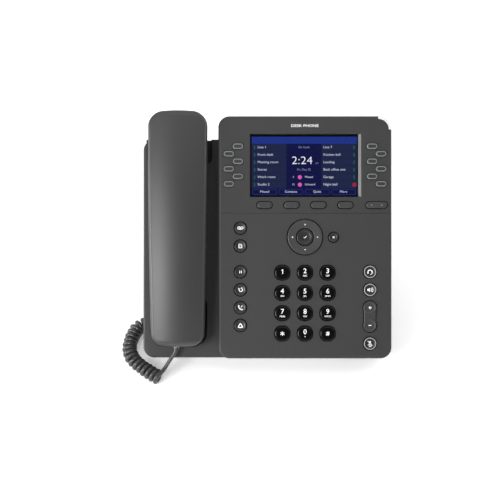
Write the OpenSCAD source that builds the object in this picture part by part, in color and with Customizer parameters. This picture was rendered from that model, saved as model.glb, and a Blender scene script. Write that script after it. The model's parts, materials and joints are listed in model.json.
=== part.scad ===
// Desk telephone on its stand, with a curly handset cord, in millimetres.
// Everything on the body is drawn in the face frame: u runs right, v up the face from its lower edge,
// w out of the face with 0 on the deck. on_face() tilts that frame into the row frame.

/* [Body] */
// Angle of the face above the desk
tilt = 42; // [36:1:46]
// Height of the deck along the face
deck_h = 215.3; // [214:0.1:218]
// Width of the whole body
body_w = 221.3; // [220:0.1:224]
// Width of the raised deck on the right
deck_w = 153.95; // [153:0.05:155]
// Height of the lower handset platform
platform_h = 195.5; // [192:0.1:198]
// Depth of the platform below the deck
platform_drop = 12; // [11.5:0.1:12.5]
// Thickness of the whole body
body_t = 30; // [29.5:0.1:34]
// Depth of the parting line below the deck
parting = 16; // [15.5:0.1:16.5]
// Wall thickness of the housings
wall = 2.4; // [2:0.1:2.6]
// Height of the rubber feet
foot_h = 2; // [1.5:0.1:3]

/* [Display] */
// Width of the display opening
display_w = 96; // [94:0.1:97]
// Height of the display opening
display_h = 55.6; // [54:0.1:56]

/* [Keys] */
// Height of the key tops above the deck
key_top = 1.4; // [1:0.1:1.8]
// Gap between a key and its hole
key_gap = 0.4; // [0.35:0.05:0.45]
// Columns of the dial pad, centre to centre
dial_pitch_u = 20.1; // [19:0.1:20.5]
// Rows of the dial pad, centre to centre
dial_pitch_v = 18; // [17:0.1:18.5]
// Diameter of the navigation ring
nav_d = 31; // [30:0.1:31.5]
// Diameter of the OK key
ok_d = 14.6; // [14:0.1:14.8]

/* [Handset] */
// Length of the handset
handset_l = 208.9; // [206:0.1:210]
// Width of the handset over the ear cup
handset_w = 52.5; // [50:0.1:53]
// Wall thickness of the handset shells
shell = 2.2; // [1.8:0.1:2.6]

/* [Cord] */
// Diameter of the cord
cord_d = 3.6; // [3:0.1:4]
// Outer diameter of the coil
coil_d = 13; // [11:0.5:14]

/* [Hidden] */
$fn = 48;
deck_r = 10;          // corner radius of deck and platform
light_r = 12;         // corner radius under the message light
light_t = 2.6;        // thickness of the message light band
light_depth = 8;      // depth of the message light below the deck
platform_roof = 2.4;  // thickness of the platform's top wall
well_wall = 1.8;      // side walls of the handset wells
left = -body_w / 2;
right = body_w / 2;
deck_u0 = right - deck_w;
deck_u = right - deck_w / 2;
face_z = foot_h + body_t * cos(tilt);
face_y = -(deck_h * cos(tilt) + body_t * sin(tilt)) / 2;

// Depths below the deck, as negative w
flange_top = -2.7;
flange_low = -3.5;
stem_low = -5.6;
dome_top = -6.85;
mat_top = -7.2;
board_top = -8;
board_low = -9.6;
lens_low = -3.9;
pocket_w = -13;       // floor of the connector pocket
rocker_flange = [-3.3, -4.1];
collar_w = [-5, -5.9];

// Handset, in the face frame
handset_u = -79;
handset_v0 = 11;
handset_v1 = handset_v0 + handset_l;
handset_end_w = 10;   // height of the back at both ends
handset_mid_w = 16;   // and in the middle
handset_split_w = 2;  // parting plane of the two shells
grip_w = -4;
rest_gap = 0.3;
ear_floor = -23;
mic_floor = -20;
ear_well = [-106.2, 174.5, -49.7, platform_h + 5];
mic_well = [-104.5, 9.5, -53.5, 56];

// Connector pocket and its sockets: [name, u, width, height, mouth width, mouth height]
pocket = [-37, 52, 78, 98];
socket_len = 15.6;
sockets = [
    ["handset", -28, 11, 12, 7.8, 7.2],
    ["headset", -12, 11, 12, 7.8, 7.2],
    ["pc", 12, 16, 13.5, 11.8, 8.4],
    ["lan", 34, 16, 13.5, 11.8, 8.4],
    ["power", 58, 9, 11, 6.2, 6.2]
];

function socket_centre(s) = pocket_w - 0.3 - s[5] / 2;

// Key kinds: [name, width, height, corner radius, flange lip]
key_kinds = [
    ["dial", 13.6, 13.2, 4.6, 0.8],
    ["soft", 13.4, 5.6, 2.8, 0.6],
    ["line", 9.3, 5, 2.5, 0.5],
    ["feature", 10.8, 10.8, 5.4, 0.8],
    ["lit", 11.3, 11.3, 5.65, 0.8],
    ["cancel", 8.8, 8.8, 4.4, 0.8]
];
function kind(name) = [for (k = key_kinds) if (k[0] == name) k][0];

nav_at = [deck_u, 107.8];
page_at = [deck_u + 63.5, 136.2];
page_size = [18.8, 5.6];
volume_at = [91.3, 37.4];
volume_reach = 7.9;   // from the rocker's centre to each end circle
volume_d = 12.4;
volume_waist = 10.5;
dial_names = ["1", "2", "3", "4", "5", "6", "7", "8", "9", "star", "0", "hash"];
feature_names = ["voicemail", "directory", "hold", "transfer", "redial", "conference"];
feature_v = [115.8, 99.9, 77, 61.1, 45.3, 29.5];
line_pitch = 6.67;
line_rows = 6;

// Every push key: [node name, kind, u, v]
PUSH_KEYS = concat(
    [for (i = [0:11]) [str("key_", dial_names[i]), "dial",
        deck_u + (i % 3 - 1) * dial_pitch_u, 76.3 - floor(i / 3) * dial_pitch_v]],
    [for (i = [0:3]) [str("soft_key_", i + 1), "soft", deck_u + (i - 1.5) * 23.9, 136.2]],
    [for (side = [-1, 1], i = [0:line_rows - 1]) [str("line_key_", side < 0 ? "l" : "r", i + 1),
        "line", deck_u + side * (i % 2 == 0 ? 59.5 : 67.5), 188.4 - i * line_pitch]],
    [for (i = [0:5]) [str(feature_names[i], "_key"), "feature", -23.6, feature_v[i]]],
    [["headset_key", "lit", 91.3, 77], ["speaker_key", "lit", 91.3, 61.1],
     ["mute_key", "lit", 91.3, 13.4], ["cancel_key", "cancel", 59, 107.7]]
);

// Screw positions: four under the deck, two under the platform
SCREWS = [[deck_u0 + 7, 7], [right - 7, 7], [deck_u0 + 7, deck_h - 7], [right - 14, deck_h - 10.5],
    [-102, 90], [-58, 90]];
screw_head_w = -21;
boss_low = -17;

// Cord route on the desk: x, y from the front edge. The coil's axis first, then the plain ends.
COIL = [[-98, -5.5], [-106, -1], [-113.5, 5.5], [-120, 12.5], [-124, 22], [-124, 33],
    [-119.5, 46.5], [-112, 53.5], [-96, 58], [-76, 61], [-50, 63], [-25, 67], [-5, 79], [0, 97],
    [-12, 113], [-32, 117], [-50, 108], [-56, 92]];
HANDSET_TAIL = [[-80.5, 10.6, 28.5], [-81, 8.4, 26.5], [-82, 6.8, 24.2], [-84.5, 4.4, 21],
    [-88, 2, 17], [-91.5, 0, 12.5], [-93.3, -2.8, 9.2], [-94.6, -6, 7], [-96, -6.6, 6.5]];
BASE_TAIL = [[-56.7, 89.8, 6.5], [-52, 81, 7.5], [-44, 72.5, 14], [-35, 68.5, 28], [-30, 66.5, 45],
    [-28.5, 67.5, 58], [-28, 71.5, 66], [-28, 76, 70]];

// Geometry helpers
function arc(c, r, from, to, n = 8) = [for (i = [0:n])
    let (a = from + (to - from) * i / n) [c[0] + r * cos(a), c[1] + r * sin(a)]];
// Outline of a rectangle with corner radii [lower left, lower right, upper right, upper left]
function outline(box, r) = concat(
    arc([box[0] + r[0], box[1] + r[0]], r[0], 180, 270),
    arc([box[2] - r[1], box[1] + r[1]], r[1], 270, 360),
    arc([box[2] - r[2], box[3] - r[2]], r[2], 0, 90),
    arc([box[0] + r[3], box[3] - r[3]], r[3], 90, 180));
function grown(box, d) = [box[0] - d, box[1] - d, box[2] + d, box[3] + d];
function centred(at, size) = [at[0] - size[0] / 2, at[1] - size[1] / 2,
    at[0] + size[0] / 2, at[1] + size[1] / 2];
function row(v, w) = [face_y + v * cos(tilt) - w * sin(tilt), face_z + v * sin(tilt) + w * cos(tilt)];
function unit(a) = a / norm(a);
function curve(p, i, t) = let (n = len(p) - 1, a = p[max(i - 1, 0)], b = p[i], c = p[min(i + 1, n)],
    d = p[min(i + 2, n)]) 0.5 * (2 * b + (c - a) * t + (2 * a - 5 * b + 4 * c - d) * t * t
    + (3 * b - a - 3 * c + d) * t * t * t);
function smooth(p, n) = concat([for (i = [0:len(p) - 2], k = [0:n - 1]) curve(p, i, k / n)],
    [p[len(p) - 1]]);

module on_face() translate([0, face_y, face_z]) rotate([tilt, 0, 0]) children();
module slab(top, low) translate([0, 0, low]) linear_extrude(top - low) children();
module box_2d(b) translate([b[0], b[1]]) square([b[2] - b[0], b[3] - b[1]]);
module key_outline(k, d) polygon(outline(grown(centred([0, 0], [k[1], k[2]]), d),
    [for (i = [0:3]) k[3] + d]));
module volume_2d(d) {
    for (s = [-1, 1]) translate([0, s * volume_reach]) circle(d = volume_d + 2 * d);
    square([volume_waist + 2 * d, 2 * volume_reach], center = true);
}
module page_2d(d) polygon(outline(grown(centred([0, 0], page_size), d),
    [for (i = [0:3]) page_size[1] / 2 + d]));
// A tube of n sides along points, square to the path, with closed ends
module tube(p, d, n, up) {
    last = len(p) - 1;
    frames = [for (i = [0:last]) let (t = unit(p[min(i + 1, last)] - p[max(i - 1, 0)]),
        s = unit(cross(t, up))) [s, cross(s, t)]];
    points = [for (i = [0:last], k = [0:n - 1]) p[i]
        + d / 2 * (frames[i][0] * cos(360 * k / n) + frames[i][1] * sin(360 * k / n))];
    sides = [for (i = [0:last - 1], k = [0:n - 1]) let (a = i * n + k, b = i * n + (k + 1) % n)
        [a, b, b + n, a + n]];
    polyhedron(points, concat(sides, [[for (k = [n - 1:-1:0]) k]],
        [[for (k = [0:n - 1]) last * n + k]]));
}

// Outlines of the body, shrunk by d
module deck_2d(d) polygon(outline(grown([deck_u0, 0, right, deck_h], -d),
    [deck_r - d, deck_r - d, light_r - d, deck_r - d]));
module platform_2d(d) polygon(outline([left + d, d, deck_u0 + deck_r + d, platform_h - d],
    [deck_r - d, 1, 1, deck_r - d]));

// The upper moulding: deck, platform, both handset wells and every key hole
module front_housing() color("dimgray") on_face() difference() {
    union() {
        difference() {
            union() {
                slab(0, -parting) deck_2d(0);
                slab(-platform_drop, -parting) platform_2d(0);
            }
            slab(-wall, -parting - 1) deck_2d(wall);
            slab(-platform_drop - platform_roof, -parting - 1) platform_2d(wall);
        }
        slab(-platform_drop - platform_roof / 2, ear_floor - wall)
            box_2d([ear_well[0] - well_wall, ear_well[1] - well_wall, ear_well[2] + well_wall, platform_h]);
        slab(-platform_drop - platform_roof / 2, mic_floor - wall) box_2d(grown(mic_well, well_wall));
        for (p = SCREWS) translate(p) slab(p[0] < deck_u0 ? -14 : -1.5, boss_low) circle(d = 7);
    }
    slab(1, ear_floor) box_2d(ear_well);
    slab(1, mic_floor) polygon(outline(mic_well, [6, 6, 6, 6]));
    for (p = SCREWS) translate(p) slab(-13, boss_low - 1) circle(d = 3);
    display_cut();
    message_light_cut();
    key_holes();
    for (i = [-4:4]) translate([handset_u, 115 + 4.5 * i])
        slab(-platform_drop + 1, -parting) square([32, 2], center = true);
    // Slot and pin bores of the hook lever
    slab(ear_floor + 1, ear_floor - wall - 1) box_2d([handset_u - 6.4, 176.8, handset_u + 6.4, 193]);
    translate([handset_u, 178.5, hook_pin_w]) rotate([0, 90, 0]) cylinder(d = 1.5, h = 16, center = true);
}

// Display opening, with a broad chamfer on its right side only
display_box = [-15, 143.6, -15 + display_w, 143.6 + display_h];
module display_cut() {
    slab(1, -wall - 1) box_2d(display_box);
    translate([0, display_box[3] + 0.6, 0]) rotate([90, 0, 0])
        linear_extrude(display_h + 1.2) polygon([[display_box[2] - 1, 1], [display_box[2] - 1, -wall],
            [display_box[2], -wall], [display_box[2] + wall + 1, 1]]);
}

// The quarter ring between the corner's outline and the light's inner face
module corner_ring(outer, inner, top, low) translate([right - light_r, deck_h - light_r])
    slab(top, low) intersection() {
        difference() { circle(r = outer); circle(r = inner); }
        square(light_r + 1);
    }
module message_light_cut() corner_ring(light_r + 0.5, light_r - light_t, 1, -light_depth);

module key_holes() {
    for (k = PUSH_KEYS) translate([k[2], k[3]]) slab(1, -wall - 1) key_outline(kind(k[1]), key_gap);
    translate(nav_at) slab(1, -wall - 1) circle(d = nav_d + 0.9);
    translate(page_at) slab(1, -wall - 1) page_2d(0.45);
    translate(volume_at) slab(1, -wall - 1) volume_2d(0.45);
}

// The lower moulding, with the connector pocket, screw towers and slots for the stand
module rear_cover() color("#303030") on_face() difference() {
    union() {
        difference() {
            slab(-parting, -body_t) { deck_2d(0); platform_2d(0); }
            slab(-parting + 1, -body_t + wall) { deck_2d(wall); platform_2d(wall); }
        }
        slab(pocket_w + wall, -body_t + wall / 2) box_2d(grown(pocket, wall));
        for (p = SCREWS) translate(p) slab(boss_low, -body_t + wall / 2) circle(d = 10);
    }
    slab(pocket_w, -body_t - 1) box_2d(pocket);
    slab(-parting + 1, ear_floor - wall - 0.1) box_2d([ear_well[0] - well_wall - 0.1,
        platform_h - 9.5, ear_well[2] + well_wall + 0.1, platform_h + 1]);
    for (p = SCREWS) translate(p) slab(-parting + 1, boss_low) circle(d = 7.4);
    for (s = sockets) slab(board_low + 0.1, board_low - s[3] - 0.3)
        box_2d([s[1] - s[2] / 2 - 0.3, pocket[3] - 1, s[1] + s[2] / 2 + 0.3, pocket[3] + wall + 1]);
    for (p = SCREWS) translate(p) {
        slab(screw_head_w, -body_t - 1) circle(d = 6.8);
        slab(boss_low + 1, screw_head_w - 1) circle(d = 3.4);
    }
    for (u = stand_hooks) slab(-body_t + wall + 1, -body_t - 1) box_2d([u - 5.2, 119.8, u + 5.2, 124.2]);
}

// Desk stand: a clip-on plate, two side gussets, a leg with a cable window and a foot bar
stand_u = [-40, 80];
stand_hooks = [-25, 65];
stand_t = 3;
gusset_t = 2.6;
foot_y = face_y + 158;
foot_len = 19;
module stand() color("#2c2c2c") {
    difference() {
        across(stand_u[0], stand_u[1]) polygon([row(106, -body_t), row(156, -body_t),
            [foot_y + foot_len, 5], [foot_y + foot_len, foot_h], [foot_y, foot_h], [foot_y, 5]]);
        across(stand_u[0] + gusset_t, stand_u[1] - gusset_t) polygon([row(90, -body_t - stand_t),
            row(149, -body_t - stand_t), [foot_y + foot_len - 5.8, 5], [foot_y - 40, 5]]);
        translate([-12, foot_y - 20, 14]) cube([64, 60, 36]);
    }
    on_face() for (u = stand_hooks) {
        slab(-body_t + wall + 0.2, -body_t - 1) box_2d([u - 5, 120, u + 5, 122]);
        slab(-body_t + wall + 1.8, -body_t + wall) box_2d([u - 5, 120, u + 5, 125.5]);
    }
}
// Extrudes a y-z outline along x from a to b
module across(a, b) translate([a, 0, 0]) rotate([90, 0, 90]) linear_extrude(b - a) children();

module rubber_feet() color("#151515") {
    for (u = [-80, 80]) across(u - 12, u + 12) polygon([row(1, -body_t), row(7, -body_t),
        [row(7, -body_t)[0], 0], [row(1, -body_t)[0], 0]]);
    for (u = [stand_u[0] + 12, stand_u[1] - 12]) translate([u, foot_y + foot_len / 2, 0])
        cylinder(d = 14, h = foot_h);
}

module case_screws() color("silver") on_face() for (p = SCREWS) translate(p) {
    slab(screw_head_w, screw_head_w - 2.2) difference() { circle(d = 6); circle(d = 2.4, $fn = 6); }
    slab(screw_head_w, screw_head_w - 0.8) circle(d = 5);
    slab(-13.2, screw_head_w - 0.4) circle(d = 2.9);
}

module display_lens() color("#101418") on_face()
    slab(-wall, lens_low) polygon(outline(grown(display_box, 2), [1, 1, 1, 1]));

module message_light() color("gainsboro") on_face() {
    corner_ring(light_r, light_r - light_t + 0.1, 0, -light_depth + 0.1);
    corner_ring(light_r - light_t + 0.2, light_r - light_t - 1.2, -wall, board_top);
}

// Circuit board with its display module and soldered sockets, each a solid of its own
board = [deck_u0 + 4, 4, right - 4.8, deck_h - 10.4];
module main_board() color("darkgreen") on_face() {
    slab(board_top, board_low) difference() {
        polygon(outline(board, [4, 4, 4, 4]));
        for (p = SCREWS) translate(p) circle(d = 9);
    }
    slab(lens_low, board_top) box_2d([display_box[0] - 3.4, 141.1, display_box[2] + 3.4, 201.9]);
    for (s = sockets) translate([s[1], 0]) difference() {
        slab(board_low, board_low - s[3]) box_2d([-s[2] / 2, pocket[3] + 0.4, s[2] / 2,
            pocket[3] + 0.4 + socket_len]);
        slab(socket_centre(s) + s[5] / 2, socket_centre(s) - s[5] / 2)
            box_2d([-s[4] / 2, pocket[3], s[4] / 2, pocket[3] + socket_len - 2]);
    }
}

module keypad_mat() color("#3a3a3a") on_face() difference() {
    union() {
        slab(mat_top, board_top) {
            box_2d([deck_u0 + 4.5, 5, right - 5.3, 140.6]);
            box_2d([deck_u0 + 4.5, 140, display_box[0] - 4, 200]);
            box_2d([display_box[2] + 4, 140, right - 5.3, 194]);
        }
        slab(dome_top, board_top) {
            for (k = PUSH_KEYS) translate([k[2], k[3]]) circle(d = 4);
            translate(nav_at) {
                circle(d = 4);
                for (a = [0:90:270]) rotate(a) translate([15.2, 0]) circle(d = 2.2);
            }
        }
    }
    for (p = SCREWS) translate(p) slab(0, -12) circle(d = 9);
}

module loudspeaker() color("#1e1e1e") on_face() translate([handset_u, 115]) {
    slab(-platform_drop - platform_roof, -17) circle(d = 50);
    slab(-17, -20.5) circle(d = 40);
    slab(-20.5, -25.5) circle(d = 26);
}

hook_pin_w = ear_floor - wall / 2;
module hook_lever() color("#202020") on_face() translate([handset_u, 178.5, hook_pin_w]) {
    translate([0, 7, 0]) cube([12, 14, 2], center = true);
    rotate([0, 90, 0]) cylinder(d = 2, h = 12, center = true);
    rotate([0, 90, 0]) cylinder(d = 1.4, h = 15.4, center = true);
}

// A push key: cap through the deck, flange under it, stem towards the mat
module push_key(k) {
    slab(key_top, flange_top) key_outline(k, 0);
    slab(flange_top, flange_low) key_outline(k, key_gap + k[4]);
    slab(flange_low, stem_low) key_outline(k, -1.2);
}

// Knife edge along u under a rocking key, from top down to low
module knife(half, top, low) rotate([90, 0, 90]) linear_extrude(2 * half, center = true)
    polygon([[-0.8, top], [0.8, top], [0, low]]);

// Four-way ring: it rocks about the collar's v axis, and the collar about the board's u axis
module nav_ring() color("#141414") on_face() translate(nav_at) {
    slab(key_top, -3.4) difference() { circle(d = nav_d); circle(d = ok_d + 1.5); }
    slab(-3.4, -4.3) difference() { circle(d = nav_d + 2.6); circle(d = ok_d + 1.5); }
    for (s = [-1, 1]) translate([0, s * 11.6]) rotate(90) knife(1.9, -4.2, collar_w[0]);
}
module nav_collar() color("#505050") on_face() translate(nav_at) {
    slab(collar_w[0], collar_w[1]) difference() { circle(r = 14); circle(r = 9.4); }
    for (s = [-1, 1]) translate([s * 11.6, 0]) knife(1.9, collar_w[1] + 0.1, mat_top + 0.05);
}
module ok_key() color("#1a1a1a") on_face() translate(nav_at) {
    slab(key_top - 0.3, -5) circle(d = ok_d);
    slab(-5, stem_low) circle(d = ok_d + 2.6);
}

module page_rocker() color("#141414") on_face() translate(page_at) {
    slab(key_top, rocker_flange[0]) page_2d(0);
    slab(rocker_flange[0], rocker_flange[1]) page_2d(1);
    rotate(90) knife(2, rocker_flange[1] + 0.1, mat_top + 0.05);
}
module volume_rocker() color("#141414") on_face() translate(volume_at) {
    slab(key_top, rocker_flange[0]) volume_2d(0);
    slab(rocker_flange[0], rocker_flange[1]) volume_2d(1);
    knife(4, rocker_flange[1] + 0.1, mat_top + 0.05);
}

// Handset: plan outline and side outline, both shrunk by d, crossed to make the body
function handset_half(v) = handset_w / 2 - 2.75 * pow(max(0, 200 - v) / 189, 1.5);
module handset_plan(d) {
    sides = [for (i = [0:6]) let (v = 21 + i * (handset_v1 - 32) / 6) [handset_half(v) - d, v]];
    end_u = handset_half(handset_v0) - d;
    top_u = handset_w / 2 - d;
    half = concat(arc([end_u - 9 + d, handset_v0 + 9], 9 - d, 270, 360), sides,
        arc([top_u - 11 + d, handset_v1 - 11], 11 - d, 0, 90));
    translate([handset_u, 0]) polygon(concat(half, [for (i = [len(half) - 1:-1:0]) [-half[i][0], half[i][1]]]));
}
function back_w(v) = let (mid = (handset_v0 + handset_v1) / 2, x = (v - mid) / (handset_l / 2))
    handset_mid_w - (handset_mid_w - handset_end_w) * x * x;
module handset_side(d) {
    n = 12;
    ear = ear_floor + rest_gap + d;
    mic = mic_floor + rest_gap + d;
    polygon(concat(
        [for (i = [0:n]) let (v = handset_v0 + d + i * (handset_l - 2 * d) / n) [v, back_w(v) - d]],
        [[handset_v1 - d, ear + 5], [handset_v1 - d - 4, ear], [179.5 + d, ear], [173 + d, grip_w + d],
         [57 - d, grip_w + d], [50 - d, mic], [handset_v0 + d + 3, mic], [handset_v0 + d, mic + 4]]));
}
module handset_solid(d) intersection() {
    slab(30, -30) handset_plan(d);
    translate([handset_u - 40, 0, 0]) rotate([90, 0, 90]) linear_extrude(80) handset_side(d);
}
module handset_outer_shell() color("dimgray") on_face() intersection() {
    difference() { handset_solid(0); handset_solid(shell); }
    slab(30, handset_split_w) box_2d([-120, 0, -40, 240]);
}
module handset_inner_shell() color("#404040") on_face() difference() {
    intersection() {
        difference() { handset_solid(0); handset_solid(shell); }
        slab(handset_split_w, -30) box_2d([-120, 0, -40, 240]);
    }
    for (i = [-3:3]) translate([handset_u, 198 + 3.4 * i])
        slab(ear_floor + 5, ear_floor - 1) square([2 * sqrt(169 - 11.56 * i * i), 1.6], center = true);
    translate([handset_u, 32]) slab(mic_floor + 5, mic_floor - 1) circle(d = 2.5);
    // Socket opening for the cord's plug in the lower end
    translate([-80.5 - 3.9, handset_v0 - 1, grip_w - 3.6]) cube([7.8, shell + 2, 7.2]);
}
module handset_capsules() color("#262626") on_face() {
    translate([handset_u, 198]) slab(ear_floor + rest_gap + shell + 7, ear_floor + rest_gap + shell)
        circle(d = 32);
    translate([handset_u, 32]) slab(mic_floor + rest_gap + shell + 5, mic_floor + rest_gap + shell)
        circle(d = 9.7);
}

function on_desk(p, z) = [for (q = p) [q[0], face_y + q[1], z]];
function shifted(p) = [for (q = p) [q[0], face_y + q[1], q[2]]];
module cord_plug() color("whitesmoke") on_face()
    translate([sockets[0][1] - 3.8, pocket[3] - 11, socket_centre(sockets[0]) - 3])
        cube([7.6, 20, 6]);
module cord_tails() color("#181818") {
    tube(smooth(shifted(HANDSET_TAIL), 2), cord_d, 8, [0, 0, 1]);
    tube(smooth(shifted(BASE_TAIL), 2), cord_d, 8, [1, 0, 0]);
}
module cord_curl() color("#181818") tube(smooth(on_desk(COIL, coil_d / 2), 2), coil_d, 12, [0, 0, 1]);

front_housing();
rear_cover();
stand();
display_lens();
message_light();
main_board();
keypad_mat();
loudspeaker();
case_screws();
rubber_feet();
hook_lever();
handset_outer_shell();
handset_inner_shell();
handset_capsules();
cord_plug();
cord_tails();
cord_curl();
nav_ring();
nav_collar();
ok_key();
page_rocker();
volume_rocker();
for (k = PUSH_KEYS) color("#141414") on_face() translate([k[2], k[3]]) push_key(kind(k[1]));
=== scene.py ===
"""Desk telephone with a curly handset cord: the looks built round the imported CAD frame.

Shapes are drawn in the face frame, in millimetres: u runs right, v up the face from its lower edge and
w out of the face, with 0 on the deck. ON_FACE places them in the row frame, in metres.
"""

import json
import math

import bmesh
import bpy
import numpy as np
from mathutils import Matrix, Vector


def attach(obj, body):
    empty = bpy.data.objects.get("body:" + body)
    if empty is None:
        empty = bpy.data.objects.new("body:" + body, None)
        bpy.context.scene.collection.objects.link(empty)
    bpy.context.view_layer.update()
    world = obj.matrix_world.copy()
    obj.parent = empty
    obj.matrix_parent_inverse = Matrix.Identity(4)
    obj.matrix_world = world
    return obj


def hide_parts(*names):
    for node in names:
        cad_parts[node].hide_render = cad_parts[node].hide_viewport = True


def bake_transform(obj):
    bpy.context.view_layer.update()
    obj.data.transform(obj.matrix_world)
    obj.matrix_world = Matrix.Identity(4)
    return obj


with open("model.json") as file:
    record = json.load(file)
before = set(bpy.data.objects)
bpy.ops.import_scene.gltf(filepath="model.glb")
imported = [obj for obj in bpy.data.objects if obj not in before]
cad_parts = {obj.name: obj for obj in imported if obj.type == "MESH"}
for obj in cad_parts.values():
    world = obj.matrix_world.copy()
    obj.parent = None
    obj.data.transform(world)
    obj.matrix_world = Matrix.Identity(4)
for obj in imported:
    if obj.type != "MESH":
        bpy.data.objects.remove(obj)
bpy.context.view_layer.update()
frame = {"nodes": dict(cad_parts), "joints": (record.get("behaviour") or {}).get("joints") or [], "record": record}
MM = 0.001
STILL = Matrix.Identity(4)

# ---------------- the face frame
joints = {j["name"]: j for j in frame["joints"]}
OUT = Vector(joints["handset_lift"]["axis"]).normalized()
RIGHT = Vector((1, 0, 0))
UP = OUT.cross(RIGHT)
AXES = np.array([RIGHT, UP, OUT])


def along_axes(obj):
    """An object's vertices along the face's axes, in millimetres."""
    return np.array([v.co for v in obj.data.vertices]) @ AXES.T / MM


housing = along_axes(frame["nodes"]["front_housing"])
ORIGIN = np.array([0, housing[:, 1].min(), housing[:, 2].max()])
ON_FACE = Matrix.Translation(Vector(ORIGIN @ AXES) * MM) @ Matrix(AXES.T).to_4x4() @ Matrix.Scale(MM, 4)


def face_box(node):
    """Lowest and highest u, v, w of a CAD node."""
    points = along_axes(frame["nodes"][node]) - ORIGIN
    return points.min(0), points.max(0)


def centre(node):
    low, high = face_box(node)
    return (low[:2] + high[:2]) / 2


def to_row(u, v, w):
    return ON_FACE @ Vector((u, v, w))


BODY_LOW, BODY_HIGH = face_box("front_housing")
DECK_W = 153.95
DECK = (BODY_HIGH[0] - DECK_W, 0.0, BODY_HIGH[0], BODY_HIGH[1])
PLATFORM_W = -12.0
PLATFORM = (BODY_LOW[0], 0.0, DECK[0] + 12, 195.5)
PARTING = -16.0
LIGHT_R, LIGHT_BAND, LIGHT_DEPTH = 12.0, 2.6, 7.9
CREASE_V = 129.075
BACK_W = face_box("rear_cover")[0][2]
WALL = 2.4

# ---------------- camera
FRAME_MM = 443.5
DISTANCE = 1.25
target = to_row(-15.1, 96.4, 0)
camera = bpy.data.cameras.new("camera")
camera.sensor_width = 36
camera.lens = camera.sensor_width * DISTANCE / (FRAME_MM * MM)
camera_object = bpy.data.objects.new("camera", camera)
bpy.context.scene.collection.objects.link(camera_object)
camera_object.matrix_world = Matrix.Translation(target + OUT * DISTANCE) @ Matrix(AXES.T).to_4x4()
bpy.context.scene.camera = camera_object


# ---------------- materials
def material(name, colour, rough, **sockets):
    """A Principled material; sockets are named with _ for a space."""
    m = bpy.data.materials.new(name)
    m.use_nodes = True
    shader = m.node_tree.nodes["Principled BSDF"]
    shader.inputs["Base Color"].default_value = (*colour, 1)
    shader.inputs["Roughness"].default_value = rough
    for socket, value in sockets.items():
        shader.inputs[socket.replace("_", " ")].default_value = value
    return m


def textured(name, colour, rough, grain=0.35, bump=0.12, mottle=0.08, rough_swing=0.08, **sockets):
    """Moulded plastic: a fine spark-eroded grain in mm, with a slight drift of colour and gloss."""
    m = material(name, colour, rough, **sockets)
    tree = m.node_tree
    shader = tree.nodes["Principled BSDF"]
    place = tree.nodes.new("ShaderNodeTexCoord")

    def noise(scale, detail):
        n = tree.nodes.new("ShaderNodeTexNoise")
        n.inputs["Scale"].default_value = scale
        n.inputs["Detail"].default_value = detail
        tree.links.new(place.outputs["Object"], n.inputs["Vector"])
        return n

    def ramp(source, low, high):
        r = tree.nodes.new("ShaderNodeMapRange")
        r.inputs["To Min"].default_value = low
        r.inputs["To Max"].default_value = high
        tree.links.new(source, r.inputs["Value"])
        return r.outputs["Result"]

    broad = noise(22, 3)
    fine = noise(1 / (grain * MM), 2)
    tint = tree.nodes.new("ShaderNodeMix")
    tint.data_type = "RGBA"
    tint.inputs["A"].default_value = (*[c * (1 - mottle) for c in colour], 1)
    tint.inputs["B"].default_value = (*[min(1, c * (1 + mottle)) for c in colour], 1)
    speckle = tree.nodes.new("ShaderNodeMath")
    speckle.operation = "ADD"
    tree.links.new(ramp(broad.outputs["Fac"], 0, 0.6), speckle.inputs[0])
    tree.links.new(ramp(fine.outputs["Fac"], -0.1, 0.5), speckle.inputs[1])
    tree.links.new(speckle.outputs[0], tint.inputs["Factor"])
    tree.links.new(tint.outputs["Result"], shader.inputs["Base Color"])
    gloss = ramp(broad.outputs["Fac"], rough - rough_swing, rough + rough_swing)
    tree.links.new(gloss, shader.inputs["Roughness"])
    relief = tree.nodes.new("ShaderNodeBump")
    relief.inputs["Strength"].default_value = bump
    relief.inputs["Distance"].default_value = 0.0002
    tree.links.new(fine.outputs["Fac"], relief.inputs["Height"])
    tree.links.new(relief.outputs["Normal"], shader.inputs["Normal"])
    return m


def glow(name, *colour):
    """A lit patch of the display."""
    return material(name, (0, 0, 0), 0.4, Emission_Color=(*colour, 1), Emission_Strength=1.0,
                    Specular_IOR_Level=0.0)


HOUSING = textured("housing_plastic", (0.0225, 0.0225, 0.0231), 0.58)
# Lighter plastic for the display's right chamfer: a painted highlight where the left light catches the bevel
CHAMFER_HIGHLIGHT_PAINT = textured("chamfer_plastic", (0.105, 0.105, 0.108), 0.4, bump=0.05)
COVER = textured("cover_plastic", (0.028, 0.028, 0.029), 0.58, grain=0.5)
HANDSET = textured("handset_plastic", (0.030, 0.030, 0.0308), 0.4, bump=0.07, rough_swing=0.02)
SOFT_KEY = textured("soft_key_plastic", (0.030, 0.030, 0.031), 0.45)
FEATURE = textured("feature_key_plastic", (0.014, 0.014, 0.0145), 0.34, bump=0.05)
GLOSS = textured("gloss_key_plastic", (0.0022, 0.0022, 0.0024), 0.2, bump=0.012, rough_swing=0.03,
                 Specular_IOR_Level=0.26)
NAV = textured("nav_plastic", (0.034, 0.034, 0.035), 0.42)
DARK_WELL = textured("dark_recess", (0.006, 0.006, 0.006), 0.5)
LINE_RIM = textured("line_key_rim", (0.17, 0.17, 0.17), 0.34, bump=0.04, Subsurface_Weight=0.1)
LINE_TOP = textured("line_key_window", (0.028, 0.028, 0.03), 0.36, bump=0.03)
WHITE = textured("legend_white", (0.86, 0.86, 0.86), 0.5, bump=0.02, mottle=0.02)
RING_LIGHT = textured("key_light_ring", (0.36, 0.36, 0.37), 0.35, bump=0.02)
LIGHT_GUIDE = textured("light_guide", (0.74, 0.75, 0.76), 0.32, bump=0.03, mottle=0.03,
                       Subsurface_Weight=0.35)
LIGHT_GUIDE.node_tree.nodes["Principled BSDF"].inputs["Subsurface Radius"].default_value = (0.003,) * 3
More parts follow.
